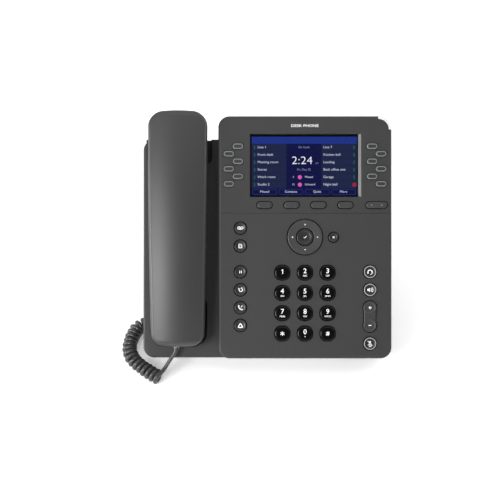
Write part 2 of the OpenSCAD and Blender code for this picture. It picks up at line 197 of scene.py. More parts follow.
CORD = textured("cord_jacket", (0.030, 0.030, 0.031), 0.33, grain=0.6, bump=0.06)
RUBBER = textured("foot_rubber", (0.018, 0.018, 0.018), 0.8, grain=0.5, bump=0.25)
STEEL = textured("screw_steel", (0.55, 0.55, 0.56), 0.32, grain=0.3, Metallic=1.0)
BOARD = textured("board_laminate", (0.012, 0.085, 0.03), 0.38, grain=1.2)
SOCKET = textured("socket_plastic", (0.012, 0.012, 0.012), 0.45)
GOLD = material("contact_gold", (0.9, 0.62, 0.22), 0.25, Metallic=1.0)
METAL = textured("module_metal", (0.42, 0.42, 0.43), 0.4, Metallic=1.0)
SILICONE = textured("silicone", (0.09, 0.09, 0.092), 0.7)
BEZEL = material("display_bezel", (0.002, 0.002, 0.003), 0.25, Specular_IOR_Level=0.1)
GLASS = material("window", (1, 1, 1), 0.02, Transmission_Weight=1.0, IOR=1.3)
PLUG = material("plug_clear", (0.9, 0.93, 0.95), 0.12, Transmission_Weight=0.85, IOR=1.5)


# ---------------- mesh helpers
def new_object(name, verts, faces, place=ON_FACE):
    mesh = bpy.data.meshes.new(name)
    mesh.from_pydata([tuple(v) for v in verts], [], [tuple(f) for f in faces])
    mesh.transform(place)
    mesh.validate()
    obj = bpy.data.objects.new(name, mesh)
    bpy.context.scene.collection.objects.link(obj)
    return obj


def dress(obj, mat, body, slot, *replaced, sharp=38):
    """Smooths between sharp edges, and gives a piece its material and body; slot is not used."""
    mesh = obj.data
    mesh.materials.clear()
    mesh.materials.append(mat)
    bm = bmesh.new()
    bm.from_mesh(mesh)
    bmesh.ops.recalc_face_normals(bm, faces=bm.faces)
    for face in bm.faces:
        face.smooth = True
    for edge in bm.edges:
        edge.smooth = len(edge.link_faces) == 2 and edge.calc_face_angle(0) < math.radians(sharp)
    bm.to_mesh(mesh)
    bm.free()
    weighted = obj.modifiers.new("flat_faces_first", "WEIGHTED_NORMAL")
    weighted.keep_sharp = True
    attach(obj, body)
    if replaced:
        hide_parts(*replaced)
    return obj


def arc(c, r, start, end, n=8):
    steps = [math.radians(start + (end - start) * i / n) for i in range(n + 1)]
    return [(c[0] + r * math.cos(a), c[1] + r * math.sin(a)) for a in steps]


def rounded(box, radii, n=8):
    """Outline of a rectangle with radii at lower left, lower right, upper right, upper left."""
    r = [max(x, 0.02) for x in radii]
    return (arc((box[0] + r[0], box[1] + r[0]), r[0], 180, 270, n)
            + arc((box[2] - r[1], box[1] + r[1]), r[1], 270, 360, n)
            + arc((box[2] - r[2], box[3] - r[2]), r[2], 0, 90, n)
            + arc((box[0] + r[3], box[3] - r[3]), r[3], 90, 180, n))


def grown(box, d):
    return (box[0] - d, box[1] - d, box[2] + d, box[3] + d)


def rectangle(box, radii, n=8):
    """A function that gives the outline grown by d."""
    if isinstance(radii, (int, float)):
        radii = [radii] * 4
    return lambda d: rounded(grown(box, d), [x + d for x in radii], n)


def pad(at, size, radius, n=8):
    return rectangle((at[0] - size[0] / 2, at[1] - size[1] / 2, at[0] + size[0] / 2, at[1] + size[1] / 2),
                     radius, n)


def round_pad(at, diameter, n=10):
    return pad(at, (diameter, diameter), diameter / 2, n)


def dumbbell(at, reach, diameter, waist, n=14):
    def outline(d):
        r, half = diameter / 2 + d, waist / 2 + d
        a = math.degrees(math.acos(min(1, half / r)))
        upper = arc((at[0], at[1] + reach), r, -a, 180 + a, 2 * n)
        lower = arc((at[0], at[1] - reach), r, 180 - a, 360 + a, 2 * n)
        return upper + lower
    return outline


def rings_of(outline, profile):
    """Rings of points from (inset, w) pairs."""
    return [[(u, v, w) for u, v in outline(-inset)] for inset, w in profile]


def loft(rings, ends="flat"):
    """Vertices and faces through rings of equal length. The ends are flat, open, or joined to each other."""
    n = len(rings[0])
    verts = [p for ring in rings for p in ring]
    faces = [(i * n + k, i * n + (k + 1) % n, (i + 1) * n + (k + 1) % n, (i + 1) * n + k)
             for i in range(len(rings) - 1) for k in range(n)]
    last = (len(rings) - 1) * n
    if ends == "flat":
        faces += [tuple(range(n - 1, -1, -1)), tuple(range(last, last + n))]
    if ends == "joined":
        faces += [(last + k, last + (k + 1) % n, (k + 1) % n, k) for k in range(n)]
    return verts, faces


def fillet(top, radius, steps=4):
    """(inset, w) pairs round an upper edge."""
    angles = [math.pi / 2 * i / steps for i in range(steps + 1)]
    return [(radius - radius * math.cos(a), top - radius + radius * math.sin(a)) for a in angles]


def flare(top, radius, steps=3):
    """(inset, w) pairs of a hole's rounded mouth, from below upwards."""
    angles = [math.pi / 2 * i / steps for i in range(steps + 1)]
    return [(-(radius - radius * math.cos(a)), top - radius + radius * math.sin(a)) for a in angles]


def joined(parts):
    verts, faces = [], []
    for v, f in parts:
        faces += [tuple(i + len(verts) for i in face) for face in f]
        verts += list(v)
    return verts, faces


def prism(outline, low, high):
    return loft([[(u, v, w) for u, v in outline] for w in (low, high)])


def block(box, low, high):
    return prism([(box[0], box[1]), (box[2], box[1]), (box[2], box[3]), (box[0], box[3])], low, high)


def solid(name, geometry):
    """A closed mesh in millimetres with its faces turned outwards, for a boolean."""
    obj = new_object(name, *geometry, place=STILL)
    bm = bmesh.new()
    bm.from_mesh(obj.data)
    bmesh.ops.recalc_face_normals(bm, faces=bm.faces)
    bm.to_mesh(obj.data)
    bm.free()
    return obj


def carved(name, start, steps):
    """Builds a solid in millimetres through exact booleans, then places it on the face."""
    obj = solid(name, start)
    for operation, geometry in steps:
        tool = solid("tool", geometry)
        modifier = obj.modifiers.new("carve", "BOOLEAN")
        modifier.operation = operation
        modifier.solver = "EXACT"
        modifier.object = tool
        graph = bpy.context.evaluated_depsgraph_get()
        result = bpy.data.meshes.new_from_object(obj.evaluated_get(graph))
        obj.modifiers.clear()
        obj.data = result
        bpy.data.objects.remove(tool)
    obj.data.transform(ON_FACE)
    return obj


def softened(node, name, width, segments=2, angle=32):
    """A copy of a CAD node with its flat faces joined up and its sharp edges rounded."""
    source = frame["nodes"][node]
    obj = bpy.data.objects.new(name, source.data.copy())
    bpy.context.scene.collection.objects.link(obj)
    bm = bmesh.new()
    bm.from_mesh(obj.data)
    bmesh.ops.remove_doubles(bm, verts=bm.verts, dist=0.002 * MM)
    bmesh.ops.dissolve_limit(bm, angle_limit=math.radians(1), verts=bm.verts, edges=bm.edges)
    edges = [e for e in bm.edges if len(e.link_faces) == 2 and e.calc_face_angle(0) > math.radians(angle)]
    bmesh.ops.bevel(bm, geom=edges, offset=width * MM, segments=segments, profile=0.5,
                    affect="EDGES", clamp_overlap=True)
    bm.to_mesh(obj.data)
    bm.free()
    return obj


# ---------------- flat drawings for legends
def disc(c, r, n=20):
    return [(c[0] + r * math.cos(2 * math.pi * i / n), c[1] + r * math.sin(2 * math.pi * i / n))
            for i in range(n)]


def bar(a, b, width):
    a, b = Vector(a), Vector(b)
    d = (b - a).normalized() * width / 2
    side = Vector((-d.y, d.x))
    return [tuple(p) for p in (a - side, b - side, b + side, a + side)]


def band(c, r, start, end, width, n=14):
    """A piece of a ring, as one outline."""
    return arc(c, r + width / 2, start, end, n) + arc(c, r - width / 2, end, start, n)


ICONS = {
    "voicemail": lambda: [band((s * 1.35, 0.15), 1.0, a, a + 180, 0.7) for s in (-1, 1) for a in (0, 180)]
    + [bar((-1.35, -1.05), (1.35, -1.05), 0.6)],
    "directory": lambda: [bar((-1.3, -1.9), (-1.3, 1.9), 0.8), bar((-1.5, 1.6), (1.0, 1.6), 0.7),
                          bar((-1.5, -1.6), (1.7, -1.6), 0.7), bar((1.3, -1.7), (1.3, 1.2), 0.8),
                          bar((-0.4, 0.1), (0.7, 0.1), 0.5)],
    "hold": lambda: [bar((-0.75, -1.2), (-0.75, 1.2), 0.65), bar((0.75, -1.2), (0.75, 1.2), 0.65)],
    "transfer": lambda: [band((0.35, 0), 1.55, 160, 430, 0.8), bar((-1.9, 1.5), (-0.6, 0.2), 0.9),
                         [(0.1, 1.2), (1.2, 2.4), (1.7, 1.0)]],
    "redial": lambda: [band((1.4, 1.4), 3.0, 180, 270, 0.9), bar((-1.9, 2.0), (-1.1, 1.0), 1.3),
                       bar((1.0, -1.3), (2.0, -2.0), 1.3), bar((0.3, 0.2), (1.4, 1.3), 0.5),
                       [(0.8, 1.6), (1.9, 1.9), (1.6, 0.8)]],
    "conference": lambda: [bar((-2.2, -1.7), (2.2, -1.7), 0.95), bar((-2.0, -1.5), (-0.1, 1.9), 0.95),
                           bar((2.0, -1.5), (0.1, 1.9), 0.95)],
    "one": lambda: [bar((0.3, -2.1), (0.3, 2.1), 0.72), bar((0.1, 1.75), (-0.95, 0.95), 0.55)],
    "headset": lambda: [band((0, -0.3), 1.75, -10, 190, 0.75), bar((-1.8, -0.1), (-1.5, -1.4), 1.0),
                        bar((1.8, -0.1), (1.5, -1.4), 1.0), bar((1.4, -1.6), (0.2, -2.1), 0.45)],
    "speaker": lambda: [[(-2.2, -0.7), (-1.3, -0.7), (-0.2, -1.7), (-0.2, 1.7), (-1.3, 0.7), (-2.2, 0.7)],
                        band((-0.4, 0), 1.2, -50, 50, 0.4), band((-0.4, 0), 2.0, -50, 50, 0.4),
                        band((-0.4, 0), 2.8, -42, 42, 0.4)],
    "mute": lambda: [bar((0, -0.1), (0, 1.3), 1.5), disc((0, 1.4), 0.75), disc((0, -0.2), 0.75),
                     band((0, -0.1), 1.55, 190, 350, 0.35), bar((0, -1.6), (0, -2.4), 0.4),
                     bar((-1.0, -2.4), (1.0, -2.4), 0.45), bar((-1.9, 2.1), (1.9, -2.0), 0.45)],
    "cancel": lambda: [bar((-0.8, -0.8), (0.8, 0.8), 0.55), bar((-0.8, 0.8), (0.8, -0.8), 0.55)],
    "tick": lambda: [bar((-1.1, -0.1), (-0.3, -0.9), 0.55), bar((-0.45, -0.95), (1.4, 1.0), 0.55)],
    "plus": lambda: [bar((-1.3, 0), (1.3, 0), 0.75), bar((0, -1.3), (0, 1.3), 0.75)],
    "minus": lambda: [bar((-1.25, 0), (1.25, 0), 0.7)],
    "star": lambda: [bar((0, -1.15), (0, 1.15), 0.36)] + [bar((-1.0, s * 0.6), (1.0, -s * 0.6), 0.36)
                                                         for s in (-1, 1)],
}


def drawing(polygons, at, low, high, scale=1.0, turn=0):
    """Thin raised patches from outlines, placed at a point of the face."""
    c, s = math.cos(math.radians(turn)), math.sin(math.radians(turn))
    parts = []
    for p in polygons:
        moved = [(at[0] + scale * (x * c - y * s), at[1] + scale * (x * s + y * c)) for x, y in p]
        parts.append(prism(moved, low, high))
    return joined(parts)


def lettering(text, height, at, low, high, align="CENTER", weight=0.0, measure=None, stretch=1.0):
    """Text as thin raised patches; height is that of measure's own letters, or of the text's."""
    curve = bpy.data.curves.new("lettering", "FONT")
    curve.body = measure or text
    curve.size = 1
    probe = bpy.data.objects.new("lettering", curve)
    bpy.context.scene.collection.objects.link(probe)
    graph = bpy.context.evaluated_depsgraph_get()
    flat = bpy.data.meshes.new_from_object(probe.evaluated_get(graph))
    ys = [v.co.y for v in flat.vertices]
    scale = height / (max(ys) - min(ys))
    base = min(ys)
    curve.body = text
    curve.offset = weight
    curve.align_x = align
    curve.extrude = 0.5
    graph = bpy.context.evaluated_depsgraph_get()
    thick = bpy.data.meshes.new_from_object(probe.evaluated_get(graph))
    verts = [(at[0] + v.co.x * scale * stretch, at[1] + (v.co.y - base) * scale - height / 2,
              high if v.co.z > 0 else low) for v in thick.vertices]
    faces = [tuple(p.vertices) for p in thick.polygons]
    bpy.data.objects.remove(probe)
    bpy.data.curves.remove(curve)
    return verts, faces


def patch(name, geometry, mat, body, slot="key_plastic"):
    return dress(new_object(name, *geometry), mat, body, slot, sharp=30)


# ---------------- front housing
KEYS = {n: centre(n) for ns in frame["record"]["behaviour"]["bodies"].values() for n in ns}
DIAL = [n for n in KEYS if n.startswith("key_")]
SOFT = [n for n in KEYS if n.startswith("soft_key_")]
LINE = [n for n in KEYS if n.startswith("line_key_")]
FEATURES = ["voicemail_key", "directory_key", "hold_key", "transfer_key", "redial_key", "conference_key"]
LIT = ["headset_key", "speaker_key", "mute_key"]
KEY_TOP = face_box("key_5")[1][2]
GAP = 0.4


def key_shape(name):
    """A key's outline, as a function that gives it grown by d."""
    at = KEYS[name]
    if name in DIAL:
        return pad(at, (13.3, 12.9), 5.8)
    if name in SOFT:
        return pad(at, (13.4, 5.6), 2.8)
    if name in LINE:
        return pad(at, (9.3, 5.0), 2.5)
    if name in LIT:
        return round_pad(at, 11.3)
    if name == "cancel_key":
        return round_pad(at, 8.8)
    if name == "page_rocker":
        return pad(at, (18.8, 5.6), 2.8)
    if name == "volume_rocker":
        return dumbbell(at, 7.9, 12.0, 10.6)
    return round_pad(at, 10.8)


NAV_AT = KEYS["nav_ring"]
NAV_D = 31.0
OK_D = 14.6
DISPLAY = (-15.0, 143.6, 81.0, 199.2)
deck_outline = rectangle(DECK, [10, 10, LIGHT_R, 10], 14)
platform_outline = rectangle(PLATFORM, [10, 1, 1, 10], 14)
EAR_WELL = (-106.2, 174.5, -49.7, 200.0)
MIC_WELL = (-103.8, 10.2, -53.9, 56.0)
EAR_FLOOR = -23.0
MIC_FLOOR = -20.0
SEAM = 0.35
THIN = 0.03
TUB_WALL = 1.8


def housing_holes():
    mouths = []
    single = DIAL + SOFT + LINE + FEATURES + LIT + ["cancel_key"]
    holes = [(key_shape(n), GAP, 0.2) if n in LINE else (key_shape(n), GAP + 0.15, 0.3) for n in single]
    holes += [(key_shape(n), GAP + 0.1, 0.3) for n in ("page_rocker", "volume_rocker")]
    holes.append((round_pad(NAV_AT, NAV_D, 16), GAP + 0.3, 0.3))
    for shape, gap, radius in holes:
        profile = [(0, -WALL - 1), *flare(0, radius), (-radius, 1)]
        mouths.append(loft(rings_of(lambda d, s=shape, g=gap: s(d + g), profile)))
    return joined(mouths)


def display_opening():
    """Straight walls on three sides and a broad chamfer on the right."""
    left, low, right, high = DISPLAY
    mouth = (left - 0.3, low - 0.3, right + WALL + 0.1, high + 0.4)
    levels = [(DISPLAY, -WALL - 1), (DISPLAY, -WALL + 0.05), (mouth, 0.0), (grown(mouth, 0.2), 1.0)]
    return loft([[(u, v, w) for u, v in rounded(b, [0.4] * 4, 3)] for b, w in levels])


def corner_sweep(profile, extra=0.0, steps=20):
    """Sweeps (radius, w) points round the deck's upper right corner, extra degrees past it each way."""
    c = (DECK[2] - LIGHT_R, DECK[3] - LIGHT_R)
    rings = []
    for i in range(steps + 1):
        a = math.radians(-extra + (90 + 2 * extra) * i / steps)
        rings.append([(c[0] + r * math.cos(a), c[1] + r * math.sin(a), w) for r, w in profile])
    return loft(rings)


def well(box, floor, radii, flared):
    """A recess in the platform with a coved floor and a rounded rim."""
    cove = [(0.8, floor), (0.25, floor + 0.25), (0, floor + 0.8)]
    rim = [(0, PLATFORM_W - flared), *flare(PLATFORM_W, flared, 5), (-flared, 2)]
    return loft(rings_of(rectangle(box, radii), cove + rim))


def build_front_housing():
    deck = loft(rings_of(deck_outline, [(0.3, PARTING + 0.05), (0, PARTING + SEAM), (0, -2.6),
                                        *fillet(0, 2.4, 6)[1:]]))
    platform = loft(rings_of(platform_outline, [(0.3, PARTING + 0.05), (0, PARTING + SEAM), (0, -14),
                                                *fillet(PLATFORM_W, 1.8, 5)[1:]]))
    deck_cavity = loft(rings_of(deck_outline, [(WALL, PARTING - 2), (WALL, -WALL)]))
    platform_cavity = loft(rings_of(platform_outline, [(WALL, PARTING - 2), (WALL, PLATFORM_W - WALL)]))
    ear_tub = block((*grown(EAR_WELL, TUB_WALL)[:3], PLATFORM[3] - 0.3), EAR_FLOOR - WALL, PLATFORM_W - 1)
    mic_tub = block(grown(MIC_WELL, TUB_WALL), MIC_FLOOR - WALL, PLATFORM_W - 1)
    low, high = face_box("hook_lever")
    hook_slot = block((low[0] + 1.3, low[1] - 0.8, high[0] - 1.3, high[1] + 0.5),
                      EAR_FLOOR - 4, EAR_FLOOR + 1)
    groove = [(-0.375, 1), (-0.375, 0), (-0.125, -0.28), (0.125, -0.28), (0.375, 0), (0.375, 1)]
    crease = loft([[(u, CREASE_V + v, w) for v, w in groove] for u in (DECK[0] - 1, DECK[2] + 1)])
    inner, outer, floor = LIGHT_R - LIGHT_BAND - 0.1, LIGHT_R + 1, -LIGHT_DEPTH - 0.1
    light = corner_sweep([(inner, 1), (inner, floor), (outer, floor), (outer, 1)])
    slots = [block((-95, v - 1, -63, v + 1), PARTING - 3, PLATFORM_W + 1)
             for v in [97 + 4.5 * i for i in range(9)]]
    return carved("front_housing_shell", deck, [
        ("UNION", platform),
        ("DIFFERENCE", deck_cavity),
        ("DIFFERENCE", platform_cavity),
        ("UNION", ear_tub),
        ("UNION", mic_tub),
        ("DIFFERENCE", well(EAR_WELL, EAR_FLOOR, 3, 1.2)),
        ("DIFFERENCE", well(MIC_WELL, MIC_FLOOR, [12.5, 12.5, 9, 9], 0.7)),
        ("DIFFERENCE", joined([housing_holes(), display_opening(), hook_slot, light, crease, *slots])),
    ])


shell = dress(build_front_housing(), HOUSING, "base", "housing_plastic", "front_housing")
# Left-facing chamfer faces right of the display get the lighter plastic: a painted highlight from the left light
shell.data.materials.append(CHAMFER_HIGHLIGHT_PAINT)
for face in shell.data.polygons:
    at = (np.array(face.center) @ AXES.T / MM) - ORIGIN
    lit_chamfer_face = DISPLAY[2] < at[0] < DISPLAY[2] + 3 and DISPLAY[1] - 1 < at[1] < DISPLAY[3] + 1
    if lit_chamfer_face and face.normal.x < -0.4:
        face.material_index = 1


# ---------------- message light, display
def build_message_light():
    inner = LIGHT_R - LIGHT_BAND
    profile = [(inner, -LIGHT_DEPTH), (inner, -0.25), (inner + 0.25, 0)]
    profile += [(LIGHT_R - inset, w) for inset, w in reversed(fillet(0, 2.0, 6))] + [(LIGHT_R, -LIGHT_DEPTH)]
    return new_object("message_light_guide", *corner_sweep(profile, extra=-0.3))


dress(build_message_light(), LIGHT_GUIDE, "base", "light_guide", "message_light", sharp=50)

LENS_TOP = face_box("display_lens")[1][2]
SCREEN_W = LENS_TOP - 1.5
window = loft(rings_of(rectangle(grown(DISPLAY, 1.9), 1),
                       [(inset, LENS_TOP - w) for inset, w in ((0.1, 0.5), (0, 0.4), (0, 0.1), (0.1, 0.01))]))
dress(new_object("display_window", *window), GLASS, "base", "window", "display_lens")


def on_screen(name, geometry, mat):
    patch(name, geometry, mat, "base", "window")


def patches(name, boxes, w, mat):
    """Thin lit rectangles."""
    on_screen(name, joined([block(b, w - THIN, w) for b in boxes]), mat)


def outlined(box, radius, width):
    """A thin closed band along a rounded rectangle, as a ring of small outlines."""
    outer, inner = (rounded(grown(box, -d), [radius - d] * 4, 5) for d in (0, width))
    n = len(outer)
    return [[outer[k], outer[(k + 1) % n], inner[(k + 1) % n], inner[k]] for k in range(n)]


def build_display():
    left, low, right, high = -13.6, 144.9, 80.0, 197.2
    mid_l, mid_r, bar_low, foot = 17.2, 48.5, 190.9, 151.2
    mid = (mid_l + mid_r) / 2
    pitch = (bar_low - foot) / 6
    rows = [bar_low - pitch * (i + 0.5) for i in range(6)]
    w = SCREEN_W

    def text(words, size, u, v, align="CENTER", stretch=1.0, lift=0.12):
        return lettering(words, size, (u, v), w + lift, w + lift + THIN, align, measure="Hg", stretch=stretch)

    def dots(radius, u, heights, lift):
        return joined([prism(disc((u, v), radius), w + lift, w + lift + THIN) for v in heights])

    bright = glow("screen_text", 0.62, 0.66, 0.80)
    patches("display_back", [grown(DISPLAY, 1)], w, BEZEL)
    patches("screen_ground", [(left, low, right, high)], w + 0.04, glow("screen_ground", 0.004, 0.006, 0.055))
    patches("screen_bar", [(left, bar_low, right, high)], w + 0.08, glow("screen_bar", 0.012, 0.032, 0.235))
    patches("screen_columns", [(left, foot, mid_l, bar_low), (mid_r, foot, right, bar_low)], w + 0.08,
            glow("screen_rows", 0.013, 0.019, 0.062))
    patches("screen_row_lines", [(a, bar_low - pitch * i - 0.12, b, bar_low - pitch * i + 0.12)
                                 for i in range(1, 6) for a, b in ((left, mid_l), (mid_r, right))],
            w + 0.12, glow("screen_lines", 0.006, 0.009, 0.036))
    marks = [rounded((u - 0.35, v - 1.5, u + 0.35, v + 1.5), [0.3] * 4, 4)
             for u in (left + 2.6, right - 2.6) for v in rows]
    on_screen("screen_marks", joined([prism(m, w + 0.09, w + 0.12) for m in marks]),
              glow("screen_green", 0.012, 0.16, 0.10))
    left_names = ["Line 1", "Front desk", "Meeting room", "Stores", "Work room", "Studio 2"]
    right_names = ["Line 7", "Kitchen bell", "Loading", "Back office one", "Garage", "Night bell"]
    on_screen("screen_names", joined([text(t, 2.7, u, v, "LEFT", 1.08) for names, u in (
        (left_names, left + 5.2), (right_names, mid_r + 1.6)) for t, v in zip(names, rows)]), bright)
    on_screen("screen_clock", lettering("2:24", 6.9, (mid - 1.6, 176.2), w + 0.12, w + 0.15, weight=-0.012,
                                        measure="2:24", stretch=1.12), glow("screen_clock", 0.95, 0.96, 1.0))
    small = [text("On hook", 2.5, mid, rows[0]), text("pm", 1.9, mid + 11.6, 173.6),
             text("Fri, Day 22", 2.5, mid, rows[3])]
    on_screen("screen_small_text", joined(small), glow("screen_text_dim", 0.25, 0.28, 0.42))
    on_screen("screen_badges", dots(1.9, mid - 3.6, rows[4:], 0.09), glow("screen_badges", 0.62, 0.10, 0.42))
    counts = [text(t, 2.4, mid + 0.8, v, "LEFT") for t, v in zip(("Missed", "Unheard"), rows[4:])]
    counts += [text(t, 2.1, mid - 9.5, v) for t, v in zip(("4", "12"), rows[4:])]
    counts += [text("1", 1.5, mid - 3.6, v, lift=0.13) for v in rows[4:]]
    on_screen("screen_counts", joined(counts), bright)
    on_screen("screen_busy_mark", dots(1.9, right - 2.3, rows[5:], 0.13),
              glow("screen_red", 0.30, 0.02, 0.04))
    tabs, texts = [], []
    for i, words in enumerate(("Missed", "Contacts", "Quiet", "More")):
        a = left + 0.7 + i * 23.4
        tabs += outlined((a, low + 0.7, a + 21.6, foot - 0.7), 1.6, 0.28)
        texts.append(text(words, 2.6, a + 10.8, (low + foot) / 2, stretch=1.05))
    on_screen("screen_tabs", drawing(tabs, (0, 0), w + 0.08, w + 0.11),
              glow("screen_tab_edge", 0.03, 0.045, 0.22))
    on_screen("screen_tab_text", joined(texts), bright)


build_display()


# ---------------- keys
def cap(name, shape, top, mat, body, *replaced, low=-2.6, edge=0.9, bulge=0.1, reach=1.4):
    """A moulded key cap with a rounded edge and a top that is domed, or dished, over reach."""
    profile = [(0, low), *fillet(top, edge, 5)]
    profile += [(edge + reach * t, top + bulge * math.sin(t * math.pi / 2)) for t in (0.25, 0.5, 0.75, 1)]
    dress(new_object(name, *loft(rings_of(shape, profile))), mat, body, "key_plastic", *replaced, sharp=50)


LETTERS = {"2": "ABC", "3": "DEF", "4": "GHI", "5": "JKL", "6": "MNO", "7": "PQRS", "8": "TUV", "9": "WXYZ",
           "0": "+"}


def dial_key(name):
    at = KEYS[name]
    label = name.split("_")[1]
    cap(name + "_cap", key_shape(name), KEY_TOP, GLOSS, name, name, edge=1.1, bulge=0.12, reach=3.6)
    low, high = KEY_TOP + 0.12 - THIN, KEY_TOP + 0.12 + THIN
    if label == "star":
        marks = [drawing(ICONS["star"](), at, low, high, 1.75)]
    elif label == "hash":
        marks = [lettering("#", 3.4, at, low, high, weight=0.03)]
    elif label == "1":
        marks = [drawing(ICONS["one"](), (at[0], at[1] + 0.9), low, high)]
    else:
        marks = [lettering(label, 4.2, (at[0], at[1] + 1.7), low, high, weight=0.012, measure="8")]
    if label in LETTERS:
        marks.append(lettering(LETTERS[label], 1.35, (at[0], at[1] - 2.7), low, high, weight=0.02,
                               measure="H"))
    patch(name + "_legend", joined(marks), WHITE, name)


def round_key(name, icon, ring=None, scale=1.0):
    shape = key_shape(name)
    cap(name + "_cap", shape, KEY_TOP, FEATURE, name, name, edge=1.0, bulge=-0.42, reach=2.0)
    dish = KEY_TOP - 0.42
    patch(name + "_legend", drawing(ICONS[icon](), KEYS[name], dish - 0.02, dish + THIN, scale), WHITE, name)
    if ring:
        profile = [(0.30, -0.6), (0.30, -0.05), (0.55, 0.06), (0.95, 0.0), (1.0, -0.6)]
        rings = rings_of(shape, [(inset, KEY_TOP + w) for inset, w in profile])
        patch(name + "_ring", loft(rings, "open"), ring, name)


def line_key(name):
    shape = key_shape(name)
    top = KEY_TOP - 0.1
    cap(name + "_rim", shape, top, LINE_RIM, name, name, edge=0.55, bulge=-0.02, reach=0.9)
    window = rings_of(shape, [(1.05, top - 0.4), (1.05, top + 0.02), (1.2, top + 0.1)])
    dress(new_object(name + "_window", *loft(window)), LINE_TOP, name, "line_key_plastic", sharp=50)


for key in DIAL:
    dial_key(key)
for key in SOFT:
    cap(key + "_cap", key_shape(key), KEY_TOP, SOFT_KEY, key, key)
for key in LINE:
    line_key(key)
for key in FEATURES:
    round_key(key, key.replace("_key", ""))
for key in LIT:
    round_key(key, key.replace("_key", ""), RING_LIGHT, 1.12)
round_key("cancel_key", "cancel")

patch("front_label", lettering("DESK PHONE", 2.3, (33.5, 206.7), -0.02, THIN, stretch=1.25, weight=0.01),
      WHITE, "base", "housing_plastic")


# Four-way ring, OK key, rockers
def build_nav_ring():
    outer, inner = round_pad(NAV_AT, NAV_D, 16), round_pad(NAV_AT, OK_D + 1.5, 16)
    profile = [(outer, 0, -2.6)] + [(outer, i, w) for i, w in fillet(KEY_TOP, 0.9, 5)]
    profile += [(outer, 2.6, KEY_TOP - 0.12), (outer, 4.4, KEY_TOP - 0.28), (outer, 6.2, KEY_TOP - 0.34)]
    profile += [(inner, -0.5, KEY_TOP - 0.38), (inner, -0.15, KEY_TOP - 0.5), (inner, 0, KEY_TOP - 0.8),
                (inner, 0, -2.6)]
    rings = [[(u, v, w) for u, v in shape(-inset)] for shape, inset, w in profile]
    return new_object("nav_ring_cap", *loft(rings, "joined"))


dress(build_nav_ring(), NAV, "nav_key", "key_plastic", "nav_ring", sharp=50)
marks = []
for i, at in enumerate(disc(NAV_AT, 11.1, 4)):
    marks.append(drawing([[(-0.85, -0.4), (0.85, -0.4), (0, 0.75)]], at, KEY_TOP - 0.33, KEY_TOP - 0.2, 0.95,
                         90 * i - 90))
patch("nav_ring_arrows", joined(marks), WHITE, "nav_key")
ok_shape = round_pad(NAV_AT, OK_D, 16)
ok_profile = [(0, -3.4), *fillet(KEY_TOP - 0.3, 0.8, 5), (2.0, KEY_TOP - 0.32), (2.35, KEY_TOP - 0.65),
              (3.0, KEY_TOP - 0.92), (5.6, KEY_TOP - 1.0)]
dress(new_object("ok_key_cap", *loft(rings_of(ok_shape, ok_profile))), FEATURE, "ok", "key_plastic", "ok_key",
      sharp=50)
patch("ok_key_legend", drawing(ICONS["tick"](), NAV_AT, KEY_TOP - 1.02, KEY_TOP - 0.97, 0.95), WHITE, "ok")
cap("page_rocker_cap", key_shape("page_rocker"), KEY_TOP, SOFT_KEY, "page", "page_rocker")
page = KEYS["page_rocker"]
marks = [drawing([[(-0.6, 0), (0.5, -0.7), (0.5, 0.7)]], (page[0] + side * 4.6, page[1]), KEY_TOP + 0.08,
                 KEY_TOP + 0.13, 0.9, 90 + 90 * side) for side in (-1, 1)]
patch("page_rocker_legend", joined(marks), RING_LIGHT, "page")
volume = KEYS["volume_rocker"]
cap("volume_rocker_cap", key_shape("volume_rocker"), KEY_TOP - 0.5, SOFT_KEY, "volume", "volume_rocker",
    bulge=-0.1, reach=2.6)
for part, icon, side in (("up", "plus", 1), ("down", "minus", -1)):
    at = (volume[0], volume[1] + side * 7.9)
    cap(f"volume_{part}_pad", round_pad(at, 11.6, 14), KEY_TOP, SOFT_KEY, "volume", low=KEY_TOP - 1.2,
        edge=0.8, bulge=-0.4, reach=2.0)
    patch(f"volume_{part}_legend", drawing(ICONS[icon](), at, KEY_TOP - 0.42, KEY_TOP - 0.4 + THIN), WHITE,
          "volume")


# ---------------- handset
HAND_U, HAND_V0, HAND_V1 = -79.0, 11.0, 219.9
HALF_W = 26.25
SPLIT = 2.0
EAR_W, GRIP_W, MIC_W = EAR_FLOOR + 0.3, -4.0, MIC_FLOOR + 0.3
EAR_V = 198.0
ROUND_TOP, ROUND_LOW = 13.0, 11.0


def step(x, a, b):
    """Smoothly from 0 at a to 1 at b."""
    t = min(1, max(0, (x - a) / (b - a)))
    return t * t * (3 - 2 * t)


def dip(v, radius):
    """How far a rounded end has fallen at v."""
    d = max(0, v - (HAND_V1 - radius), HAND_V0 + radius - v)
    return radius - math.sqrt(max(0, radius * radius - d * d))


def half_width(v):
    """The handset narrows a little towards its lower end, and both ends are rounded."""
    half = HALF_W - 2.75 * (max(0, 200 - v) / 189) ** 1.5
    return half - dip(v, ROUND_TOP if v > 115 else ROUND_LOW)


def back_height(v):
    x = (v - (HAND_V0 + HAND_V1) / 2) / ((HAND_V1 - HAND_V0) / 2)
    return 16 - 6 * x * x


def underside(v):
    low = MIC_W + (GRIP_W - MIC_W) * step(v, 49.5, 57.5)
    return low + (EAR_W - GRIP_W) * step(v, 172.5, 180.5)


def mirrored(half):
    """A closed section from its right half, which runs from the split round to the middle."""
    return half + [(-u, w) for u, w in reversed(half[:-1])]


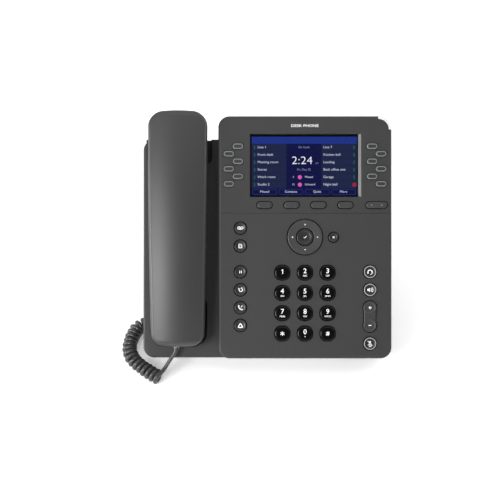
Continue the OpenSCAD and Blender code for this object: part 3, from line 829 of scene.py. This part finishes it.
def back_section(v):
    """Straight side, rounded shoulder that runs tangent into a crowned back."""
    half = half_width(v)
    top = back_height(v) - dip(v, 5.0)
    crown = 4.6 * (half / HALF_W) ** 2
    r = min(4.8, top - crown - SPLIT - 0.8)
    slope = 0.2
    for _ in range(3):
        edge = half - r * (1 - math.sin(slope))
        slope = math.atan(2 * crown * edge / half ** 2)
    at = (edge - r * math.sin(slope), top - crown * (edge / half) ** 2 - r * math.cos(slope))
    side = [(half - 0.35, SPLIT + 0.12), (half, SPLIT + 0.5)]
    side += [(half, SPLIT + 0.5 + (at[1] - SPLIT - 0.5) * t) for t in (0.33, 0.66, 1)]
    side += arc(at, r, 7, 90 - math.degrees(slope), 9)
    inner = [edge * (1 - i / 12) for i in range(1, 13)]
    return mirrored(side + [(u, top - crown * (u / half) ** 2) for u in inner])


def under_section(v):
    half = half_width(v)
    low = underside(v) + dip(v, 4.5)
    r = min(4.2, (SPLIT - low) * 0.55)
    lean = 0.6 * (SPLIT - low) / 24
    side = [(half - 0.35, SPLIT - 0.12), (half, SPLIT - 0.5)]
    side += [(half - lean * t, SPLIT - 0.5 + (low + r - SPLIT + 0.5) * t) for t in (0.25, 0.5, 0.75, 1)]
    flat = half - lean - r
    side += arc((flat, low + r), r, 0, -90, 8)[1:]
    return mirrored(side + [(flat * (1 - i / 6), low) for i in range(1, 7)])


def stations():
    """Heights of the handset's sections: close at the ends and where the underside steps."""
    turns = [1 - math.sin(math.pi / 2 * i / 14) for i in range(1, 15)]
    low = [HAND_V0 + ROUND_LOW * t for t in reversed(turns)]
    high = [HAND_V1 - ROUND_TOP * t for t in turns]
    stretches = [(HAND_V0 + ROUND_LOW, 48, 7), (49.5, 58, 11), (60, 171, 24), (172.5, 181, 11),
                 (184, HAND_V1 - ROUND_TOP, 7)]
    return low + [v for stretch in stretches for v in np.linspace(*stretch)] + high


def swept(section):
    rings = []
    for v in stations():
        bow = 1.6 * step(v, HAND_V1 - 22, HAND_V1) - 1.4 * step(v, HAND_V0 + 20, HAND_V0)
        rings.append([(HAND_U + u, v - bow * (u / HALF_W) ** 2, w) for u, w in section(v)])
    return loft(rings)


dress(new_object("handset_back", *swept(back_section)), HANDSET, "handset", "handset_plastic",
      "handset_outer_shell", sharp=50)


def build_handset_under():
    slots = []
    for i in range(-3, 4):
        half, v = math.sqrt(13 ** 2 - (3.4 * i) ** 2), EAR_V + 3.4 * i
        slot = rounded((HAND_U - half, v - 0.8, HAND_U + half, v + 0.8), [0.79] * 4, 4)
        slots.append(prism(slot, EAR_W - 1, EAR_W + 1.8))
    groove = loft([[(u, v, EAR_W + w) for u, v in disc((HAND_U, EAR_V), r, 48)]
                   for r, w in ((16.6, -1), (16.6, 0.4), (15.9, 0.4), (15.9, -1))], "joined")
    hole = prism(disc((HAND_U, 32), 1.25), MIC_W - 1, MIC_W + 1.8)
    jack = block((-84.4, HAND_V0 - 3, -76.6, HAND_V0 + 9), GRIP_W - 3.6, GRIP_W + 3.6)
    return carved("handset_under", swept(under_section),
                  [("DIFFERENCE", joined([*slots, groove, hole, jack]))])


dress(build_handset_under(), HANDSET, "handset", "handset_plastic", "handset_inner_shell", sharp=40)


# ---------------- curly cord and its plugs
# Thickness in the coil and at the plain ends, radius of the coil at the wire's middle, and its pitch
WIRE = 4.0
TAIL_WIRE = 3.3
COIL_R = 4.9
PITCH = 4.8
FRONT_Y = to_row(0, 0, 0).y
TAIL_1 = [(-80.5, 10.6, 28.5), (-81, 8.4, 26.5), (-82, 6.8, 24.2), (-84.5, 4.4, 21), (-88, 1.2, 16.8),
          (-91.2, -2.4, 13.2), (-94.1, -5.9, 11.9), (-96, -8.2, 11.8)]
LOOP = [(-96, -8.2, 6.9), (-106, -1, 6.8), (-113.5, 5.5, 6.5), (-120, 12.5, 6.5), (-124, 22, 6.5),
        (-124, 33, 6.5), (-119.5, 46.5, 6.5), (-112, 53.5, 6.5), (-96, 58, 6.5), (-76, 61, 6.5),
        (-50, 63, 6.5), (-25, 67, 6.5), (-5, 79, 6.5), (0, 97, 6.5), (-12, 113, 6.5), (-32, 117, 6.5),
        (-50, 108, 6.5)]
TAIL_2 = [(-56, 92, 6.5), (-52, 81, 7.5), (-44, 72.5, 14), (-35, 68.5, 28), (-30, 66.5, 45),
          (-28.5, 67.5, 58), (-28, 71.5, 66), (-28, 76, 70)]


def smooth_line(points, step_mm):
    """Catmull-Rom through the points, resampled evenly."""
    p = np.array([points[0], *points, points[-1]], float)
    line = []
    for i in range(1, len(p) - 2):
        for t in np.linspace(0, 1, 24, endpoint=False):
            line.append(0.5 * (2 * p[i] + (p[i + 1] - p[i - 1]) * t
                               + (2 * p[i - 1] - 5 * p[i] + 4 * p[i + 1] - p[i + 2]) * t ** 2
                               + (3 * p[i] - p[i - 1] - 3 * p[i + 1] + p[i + 2]) * t ** 3))
    line.append(p[-2])
    line = np.array(line)
    s = np.r_[0, np.cumsum(np.linalg.norm(np.diff(line, axis=0), axis=1))]
    out = np.arange(0, s[-1], step_mm)
    return np.column_stack([np.interp(out, s, line[:, k]) for k in range(3)]), out


def frames_along(line):
    """Tangent and two normals at every point, turned as little as possible."""
    tangent = np.gradient(line, axis=0)
    tangent /= np.linalg.norm(tangent, axis=1)[:, None]
    normal = np.cross(tangent[0], (0, 0, 1.0))
    normals = []
    for t in tangent:
        normal = normal - t * normal.dot(t)
        normal /= np.linalg.norm(normal)
        normals.append(normal)
    normals = np.array(normals)
    return tangent, normals, np.cross(tangent, normals)


def build_cord():
    """The plain end comes down onto the top of the coil, which thins out into TAIL_2 behind the phone."""
    axis, along = smooth_line([*LOOP, *TAIL_2], PITCH / 18)
    coil_end = along[-1] - smooth_line(TAIL_2, 0.5)[1][-1]
    _, side, up = frames_along(axis)
    radius = np.array([COIL_R * step(s, coil_end + 2, coil_end - 5) for s in along])
    turn = -math.pi / 2 - 2 * math.pi * along / PITCH
    wave = 1 + 0.03 * np.sin(along * 0.21) + 0.02 * np.sin(along * 0.57)
    around = np.cos(turn)[:, None] * side + np.sin(turn)[:, None] * up
    line = axis + (radius * wave)[:, None] * around
    keep = [k for k in range(len(along)) if radius[k] > 0.3 or k % 5 == 0 or k == len(along) - 1]
    plain = smooth_line(TAIL_1, 1.2)[0][:-1]
    line = np.vstack([plain, line[keep]])
    line[:, 2] = np.maximum(line[:, 2], WIRE / 2 + 0.05)
    share = np.r_[np.linspace(0, 1, len(plain)) ** 6, radius[keep] / COIL_R]
    thick = (TAIL_WIRE + (WIRE - TAIL_WIRE) * share) / 2
    _, n1, n2 = frames_along(line)
    rings = [[c + r * (u * p + v * q) for u, v in disc((0, 0), 1, 10)]
             for c, p, q, r in zip(line, n1, n2, thick)]
    place = Matrix.Translation((0, FRONT_Y, 0)) @ Matrix.Scale(MM, 4)
    return new_object("handset_cord", *loft(rings), place=place), [tuple(place @ Vector(c)) for c in line]


def modular_plug(name, u, w, low, high, body, *replaced):
    """A clear modular plug along v: a stepped body and its gold contacts."""
    sections = [(low, 2.3, 2.1), (low + 0.5, 2.7, 2.5), (low + 4.0, 2.7, 2.5), (low + 5.0, 3.2, 2.9),
                (high - 0.4, 3.2, 2.9), (high, 2.9, 2.6)]
    rings = [[(u + x, v, w + y) for x, y in rounded((-a, -b, a, b), [0.5] * 4, 3)] for v, a, b in sections]
    plug = dress(new_object(name, *loft(rings)), PLUG, body, "plug_plastic", *replaced, sharp=40)
    pins = [block((x - 0.16, high - 4.2, x + 0.16, high - 0.3), w - 3.0, w - 2.4)
            for x in [u - 1.53 + 1.02 * i for i in range(4)]]
    contacts = dress(new_object(name + "_contacts", *joined(pins)), GOLD, body, "plug_plastic")
    return [plug, contacts]


cord_object, cord_path = build_cord()
cord_object.data.materials.append(CORD)
for face in cord_object.data.polygons:
    face.use_smooth = True
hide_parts("cord_tails", "cord_curl")
low, high = face_box("cord_plug")
plugs = modular_plug("base_plug", (low[0] + high[0]) / 2, (low[2] + high[2]) / 2, low[1], high[1], "base",
                     "cord_plug")
plugs += modular_plug("handset_plug", -80.5, GRIP_W, HAND_V0 - 1.6, HAND_V0 + 8.6, "handset")
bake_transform(cord_object)


# ---------------- rear cover, stand and what is inside
POCKET = (-37.0, 52.0, 78.0, 98.0)
POCKET_W = -13.0
# Handset, headset, pc, lan and power sockets: u, width, depth and number of contacts
SOCKETS = [(-28, 11, 12, 4), (-12, 11, 12, 4), (12, 16, 13.5, 8), (34, 16, 13.5, 8), (58, 9, 11, 0)]


def below(profile):
    """Turns (inset, w) pairs made for an upper edge into the same edge seen from behind."""
    return [(inset, 2 * BACK_W - w) for inset, w in profile]


def build_rear_cover():
    levels = [(0.3, PARTING - 0.05), (0, PARTING - SEAM), *below(fillet(BACK_W, 1.6, 5))]
    cavity = [(WALL, PARTING + 2), (WALL, BACK_W + WALL)]
    walls = block(grown(POCKET, WALL), BACK_W + WALL / 2, POCKET_W + WALL)
    mouth = loft(rings_of(rectangle(POCKET, 1.5, 6),
                          [(0, POCKET_W), *below(flare(BACK_W, 0.9, 4)), (-0.9, BACK_W - 1)]))
    ear = block((EAR_WELL[0] - 1.9, 186, EAR_WELL[2] + 1.9, PLATFORM[3] + 1),
                EAR_FLOOR - WALL - 0.1, PARTING + 1)
    outside = BACK_W - 1
    cuts = [block((u - width / 2 - 0.3, 96.5, u + width / 2 + 0.3, 101), -9.9 - depth, -9.5)
            for u, width, depth, _ in SOCKETS]
    cuts += [prism(disc(c, 3.4, 24), outside, SCREW_HEAD) for c in SCREWS]
    cuts += [block((u - 5.2, 119.8, u + 5.2, 124.2), outside, BACK_W + WALL + 1) for u in (-25, 65)]
    cuts += [prism(rounded((u - 1, 112, u + 1, 144), [0.99] * 4, 4), outside, BACK_W + 1.2)
             for u in [-100 + 6.2 * i for i in range(8)]]
    cuts.append(prism(rounded((-4, 8, 62, 40), [1.5] * 4, 5), outside, BACK_W + 0.35))
    for u, v in ((-92, 20), (86, 180)):
        keyhole = arc((u, v), 4.0, 118, 422, 14) + arc((u, v + 8), 2.0, 0, 180)
        cuts.append(prism(keyhole, outside, BACK_W + 1.4))
    return carved("rear_cover_shell", loft(rings_of(deck_outline, levels)), [
        ("UNION", loft(rings_of(platform_outline, levels))),
        ("DIFFERENCE", loft(rings_of(deck_outline, cavity))),
        ("DIFFERENCE", loft(rings_of(platform_outline, cavity))),
        ("UNION", walls),
        ("DIFFERENCE", mouth),
        ("DIFFERENCE", joined([ear, *cuts])),
    ])


def islands(obj):
    """Splits an object into its connected parts."""
    bm = bmesh.new()
    bm.from_mesh(obj.data)
    left, parts = set(bm.verts), []
    while left:
        queue = [left.pop()]
        found = set(queue)
        while queue:
            for edge in queue.pop().link_edges:
                for vert in edge.verts:
                    if vert not in found:
                        found.add(vert)
                        queue.append(vert)
        left -= found
        order = {vert: i for i, vert in enumerate(found)}
        faces = {f for vert in found for f in vert.link_faces}
        parts.append(([tuple(v.co) for v in order], [tuple(order[v] for v in f.verts) for f in faces]))
    bm.free()
    objs = [new_object(f"{obj.name}_{i}", *part, place=STILL) for i, part in enumerate(parts)]
    bpy.data.objects.remove(obj)
    return objs


screw_parts = islands(softened("case_screws", "case_screw", 0.25, 2))
SCREWS = []
for part in screw_parts:
    points = along_axes(part) - ORIGIN
    SCREWS.append(tuple((points[:, :2].min(0) + points[:, :2].max(0)) / 2))
    replaced = ["case_screws"] if part == screw_parts[0] else []
    dress(part, STEEL, "base", "screw_steel", *replaced, sharp=30)
SCREW_HEAD = points[:, 2].min() + 2.2

dress(build_rear_cover(), COVER, "base", "cover_plastic", "rear_cover")
dress(softened("stand", "desk_stand", 0.7, 3), COVER, "base", "cover_plastic", "stand", sharp=30)
dress(softened("rubber_feet", "feet", 0.6, 3), RUBBER, "base", "foot_rubber", "rubber_feet", sharp=30)
dress(softened("hook_lever", "hook", 0.35, 2), COVER, "hook", "cover_plastic", "hook_lever", sharp=30)

board = dress(softened("main_board", "circuit_board", 0.2, 2), BOARD, "base", "board", "main_board", sharp=30)
board.data.materials.append(METAL)
board.data.materials.append(SOCKET)
for face in board.data.polygons:
    height = np.dot(np.array(face.center), AXES[2]) / MM - ORIGIN[2]
    face.material_index = 1 if height > -7.95 else 2 if height < -9.65 else 0

pins = []
for u, _, _, count in SOCKETS:
    for k in range(count):
        x = u + (k - (count - 1) / 2) * 1.02
        pins.append(block((x - 0.17, POCKET[3] + 1.5, x + 0.17, POCKET[3] + 11),
                          POCKET_W - 1.6, POCKET_W - 1.2))
dress(new_object("socket_contacts", *joined(pins)), GOLD, "base", "board")

for node, mat in (("keypad_mat", SILICONE), ("loudspeaker", DARK_WELL), ("handset_capsules", SOCKET),
                  ("nav_collar", SOCKET)):
    mesh = frame["nodes"][node].data
    mesh.materials.clear()
    mesh.materials.append(mat)


# ---------------- studio
def area(name, at, aim, size, energy):
    light = bpy.data.lights.new(name, "AREA")
    light.shape = "RECTANGLE"
    light.size, light.size_y = size
    light.energy = energy
    obj = bpy.data.objects.new(name, light)
    bpy.context.scene.collection.objects.link(obj)
    obj.location = at
    obj.rotation_euler = (Vector(aim) - Vector(at)).to_track_quat("-Z", "Y").to_euler()


floor_material = material("studio_floor", (0.93, 0.93, 0.93), 0.9, Emission_Color=(1, 1, 1, 1),
                          Emission_Strength=0.3)
floor = new_object("studio_floor", [(-6, -6, 0), (6, -6, 0), (6, 6, 0), (-6, 6, 0)], [(0, 1, 2, 3)],
                   place=STILL)
floor.data.materials.append(floor_material)
area("overhead", (0.1, 0.45, 1.7), (0, 0, 0), (2.6, 2.6), 27)
area("key_left", (-0.70, -0.80, 0.73), (-0.08, -0.03, 0.08), (0.5, 0.5), 11)
area("graze_left", (-1.2, -0.25, 0.22), (-0.08, 0, 0.08), (0.6, 0.3), 9)
area("rim_right", (1.1, 0.30, 0.45), (0.05, 0, 0.1), (0.3, 1.0), 5)

world = bpy.data.worlds.new("studio")
bpy.context.scene.world = world
world.use_nodes = True
tree = world.node_tree
background = tree.nodes["Background"]
direction = tree.nodes.new("ShaderNodeTexCoord")
height = tree.nodes.new("ShaderNodeSeparateXYZ")
fade = tree.nodes.new("ShaderNodeMapRange")
fade.interpolation_type = "SMOOTHSTEP"
fade.inputs["From Min"].default_value = 0.25
fade.inputs["From Max"].default_value = 0.6
fade.inputs["To Min"].default_value = 0.9
fade.inputs["To Max"].default_value = 0.10
tree.links.new(direction.outputs["Generated"], height.inputs["Vector"])
tree.links.new(height.outputs["Z"], fade.inputs["Value"])
tree.links.new(fade.outputs["Result"], background.inputs["Strength"])
background.inputs["Color"].default_value = (1, 1, 1, 1)
bpy.context.scene.view_settings.view_transform = "Standard"
bpy.context.scene.view_settings.look = "None"
